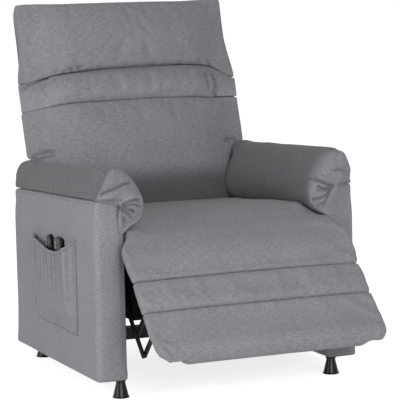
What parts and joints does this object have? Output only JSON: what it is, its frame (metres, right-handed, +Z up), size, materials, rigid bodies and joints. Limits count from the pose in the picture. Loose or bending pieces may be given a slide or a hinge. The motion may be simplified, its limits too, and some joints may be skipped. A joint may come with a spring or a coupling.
{
  "type": "recliner armchair",
  "caption": "Powered recliner armchair: padded roll arms, split back cushions, chaise footrest on steel links, side pocket with hand controls, conical feet.",
  "frame": {"origin": "on the floor, under the middle of the chair's box with the footrest half open", "axes": "+X to the viewer's right as seen from the front, +Y from the footrest to the back, +Z up"},
  "size_m": [0.8319, 1.2481, 1.0842],
  "materials": {
    "woven_fabric": "soft heathered grey weave",
    "black_lining": "matt black non-woven cloth",
    "gloss_black_plastic": "gloss",
    "black_plastic": "fine satin",
    "grey_plastic": "satin",
    "bright_steel": "drawn wire and turned steel",
    "black_steel": "satin black powder coat",
    "timber": "sawn and planed pine and plywood"
  },
  "bodies": {
    "base": {"left_arm_frame": "timber", "right_arm_frame": "timber", "left_arm_cover": "woven_fabric", "right_arm_cover": "woven_fabric", "left_arm_pad": "woven_fabric", "right_arm_pad": "woven_fabric", "side_pocket": "woven_fabric", "front_feet": "gloss_black_plastic", "rear_feet": "gloss_black_plastic", "left_base_rail": "black_steel", "right_base_rail": "black_steel", "front_cross_rail": "black_steel", "rear_cross_rail": "black_steel", "rail_bolts": "bright_steel", "power_inlet": "black_plastic"},
    "front_left_link": {"front_left_seat_link": "black_steel"},
    "front_right_link": {"front_right_seat_link": "black_steel"},
    "rear_left_link": {"rear_left_seat_link": "black_steel"},
    "rear_right_link": {"rear_right_seat_link": "black_steel"},
    "seat": {"left_seat_plate": "black_steel", "right_seat_plate": "black_steel", "seat_front_rail": "timber", "seat_rear_rail": "timber", "seat_springs": "bright_steel", "seat_cushion": "woven_fabric", "seat_lining": "black_lining", "actuator_motor": "black_plastic"},
    "actuator_rod": {"actuator_rod": "bright_steel"},
    "drive": {"left_drive_link": "black_steel", "right_drive_link": "black_steel", "torque_tube": "black_steel"},
    "footrest": {"left_footrest_bracket": "black_steel", "right_footrest_bracket": "black_steel", "footrest_board": "timber", "chaise_upper_pad": "woven_fabric", "chaise_band_pad": "woven_fabric", "chaise_lower_pad": "woven_fabric"},
    "left_front_link": {"left_front_link": "black_steel"},
    "right_front_link": {"right_front_link": "black_steel"},
    "left_middle_link": {"left_middle_link": "black_steel"},
    "right_middle_link": {"right_middle_link": "black_steel"},
    "back": {"left_back_bracket": "black_steel", "right_back_bracket": "black_steel", "left_back_post": "timber", "right_back_post": "timber", "back_top_rail": "timber", "back_bottom_rail": "timber", "back_springs": "bright_steel", "lumbar_cushion": "woven_fabric", "neck_roll": "woven_fabric", "head_cushion": "woven_fabric", "back_rear_panel": "woven_fabric"},
    "front_handset": {"front_handset_case": "black_plastic"},
    "rear_handset": {"rear_handset_case": "black_plastic"},
    "front_raise": {"front_handset_raise_button": "grey_plastic"},
    "front_lower": {"front_handset_lower_button": "grey_plastic"},
    "rear_raise": {"rear_handset_raise_button": "grey_plastic"},
    "rear_lower": {"rear_handset_lower_button": "grey_plastic"}
  },
  "joints": [
    {"name": "recline", "type": "hinge", "parent": "base", "child": "front_left_link", "pos_m": [-0.305, -0.15332, 0.138], "axis": [1, 0, 0], "range_deg": [-2, 14]},
    {"name": "seat_level", "type": "hinge", "parent": "front_left_link", "child": "seat", "pos_m": [-0.305, -0.13869, 0.27723], "axis": [1, 0, 0], "range_deg": [-14, 2]},
    {"name": "front_right_link_swing", "type": "hinge", "parent": "base", "child": "front_right_link", "pos_m": [0.305, -0.15332, 0.138], "axis": [1, 0, 0], "range_deg": [-2, 14]},
    {"name": "rear_left_link_swing", "type": "hinge", "parent": "base", "child": "rear_left_link", "pos_m": [-0.305, 0.19668, 0.138], "axis": [1, 0, 0], "range_deg": [-2, 14]},
    {"name": "rear_right_link_swing", "type": "hinge", "parent": "base", "child": "rear_right_link", "pos_m": [0.305, 0.19668, 0.138], "axis": [1, 0, 0], "range_deg": [-2, 14]},
    {"name": "back_recline", "type": "hinge", "parent": "seat", "child": "back", "pos_m": [0, 0.35668, 0.4], "axis": [-1, 0, 0], "range_deg": [-4.6, 32.2]},
    {"name": "footrest_swing", "type": "hinge", "parent": "seat", "child": "footrest", "pos_m": [0, -0.31332, 0.45], "axis": [-1, 0, 0], "range_deg": [-45, 45]},
    {"name": "drive_link_swing", "type": "hinge", "parent": "seat", "child": "drive", "pos_m": [0, -0.17968, 0.31636], "axis": [-1, 0, 0], "range_deg": [-45, 45]},
    {"name": "left_front_link_swing", "type": "hinge", "parent": "footrest", "child": "left_front_link", "pos_m": [-0.287, -0.49858, 0.26474], "axis": [-1, 0, 0], "range_deg": [-45, 45]},
    {"name": "right_front_link_swing", "type": "hinge", "parent": "footrest", "child": "right_front_link", "pos_m": [0.287, -0.49858, 0.26474], "axis": [-1, 0, 0], "range_deg": [-45, 45]},
    {"name": "left_middle_link_swing", "type": "hinge", "parent": "footrest", "child": "left_middle_link", "pos_m": [-0.287, -0.44763, 0.31568], "axis": [-1, 0, 0], "range_deg": [-45, 45]},
    {"name": "right_middle_link_swing", "type": "hinge", "parent": "footrest", "child": "right_middle_link", "pos_m": [0.287, -0.44763, 0.31568], "axis": [-1, 0, 0], "range_deg": [-45, 45]},
    {"name": "actuator_travel", "type": "slide", "parent": "seat", "child": "actuator_rod", "axis": [0, -1, 0], "range_m": [-0.0425, 0.0425]},
    {"name": "front_handset_lift", "type": "slide", "parent": "base", "child": "front_handset", "axis": [0, 0, 1], "range_m": [0, 0.1]},
    {"name": "rear_handset_lift", "type": "slide", "parent": "base", "child": "rear_handset", "axis": [0, 0, 1], "range_m": [0, 0.1]},
    {"name": "front_raise_press", "type": "slide", "parent": "front_handset", "child": "front_raise", "axis": [1, 0, 0], "range_m": [0, 0.0008], "stiffness_N_per_m": 250},
    {"name": "front_lower_press", "type": "slide", "parent": "front_handset", "child": "front_lower", "axis": [1, 0, 0], "range_m": [0, 0.0008], "stiffness_N_per_m": 250},
    {"name": "rear_raise_press", "type": "slide", "parent": "rear_handset", "child": "rear_raise", "axis": [1, 0, 0], "range_m": [0, 0.0008], "stiffness_N_per_m": 250},
    {"name": "rear_lower_press", "type": "slide", "parent": "rear_handset", "child": "rear_lower", "axis": [1, 0, 0], "range_m": [0, 0.0008], "stiffness_N_per_m": 250}
  ],
  "couplings": [
    {"joint": "seat_level", "follows": "recline", "ratio": -1},
    {"joint": "front_right_link_swing", "follows": "recline", "ratio": 1},
    {"joint": "rear_left_link_swing", "follows": "recline", "ratio": 1},
    {"joint": "rear_right_link_swing", "follows": "recline", "ratio": 1},
    {"joint": "back_recline", "follows": "recline", "ratio": 2.3},
    {"joint": "drive_link_swing", "follows": "footrest_swing", "ratio": 1},
    {"joint": "left_front_link_swing", "follows": "footrest_swing", "ratio": -1},
    {"joint": "right_front_link_swing", "follows": "footrest_swing", "ratio": -1},
    {"joint": "left_middle_link_swing", "follows": "footrest_swing", "ratio": -1},
    {"joint": "right_middle_link_swing", "follows": "footrest_swing", "ratio": -1},
    {"joint": "actuator_travel", "follows": "footrest_swing", "m_per_rad": 0.054}
  ]
}
